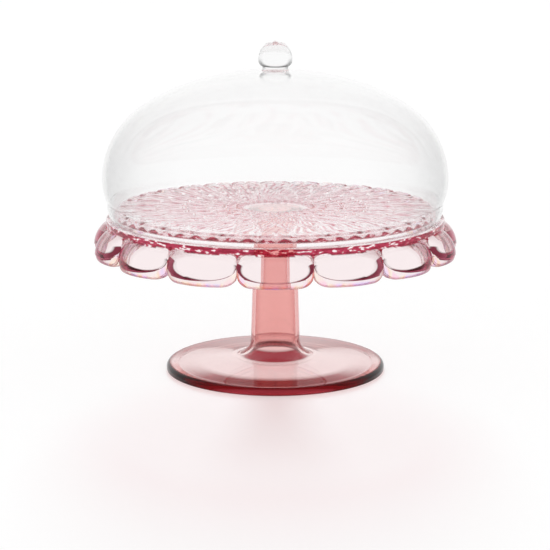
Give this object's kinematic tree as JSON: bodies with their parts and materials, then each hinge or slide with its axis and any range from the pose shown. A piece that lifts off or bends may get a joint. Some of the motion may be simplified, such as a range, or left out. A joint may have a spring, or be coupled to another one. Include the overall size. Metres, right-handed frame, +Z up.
{
  "type": "cake stand with dome",
  "caption": "Footed round cake stand with a petal-pattern plate, a skirt of pillow-shaped cabochons and a clear lift-off dome with a round knob.",
  "frame": {"origin": "centre of the foot's resting plane", "axes": "+Z up along the stem and the dome's axis; one cabochon of the skirt faces -Y"},
  "size_m": [0.3406, 0.3395, 0.308],
  "materials": {
    "pink_clear": "transparent pink acrylic, polished",
    "pink_faceted": "transparent pink acrylic, moulded relief, polished",
    "clear": "clear acrylic, polished",
    "clear_knob": "clear acrylic, polished"
  },
  "bodies": {
    "stand": {"pedestal": "pink_clear", "plate": "pink_faceted"},
    "dome": {"dome_shell": "clear", "dome_knob": "clear_knob"}
  },
  "joints": [
    {"name": "dome_lift", "type": "slide", "parent": "stand", "child": "dome", "axis": [0, 0, 1], "range_m": [0, 0.25]}
  ]
}
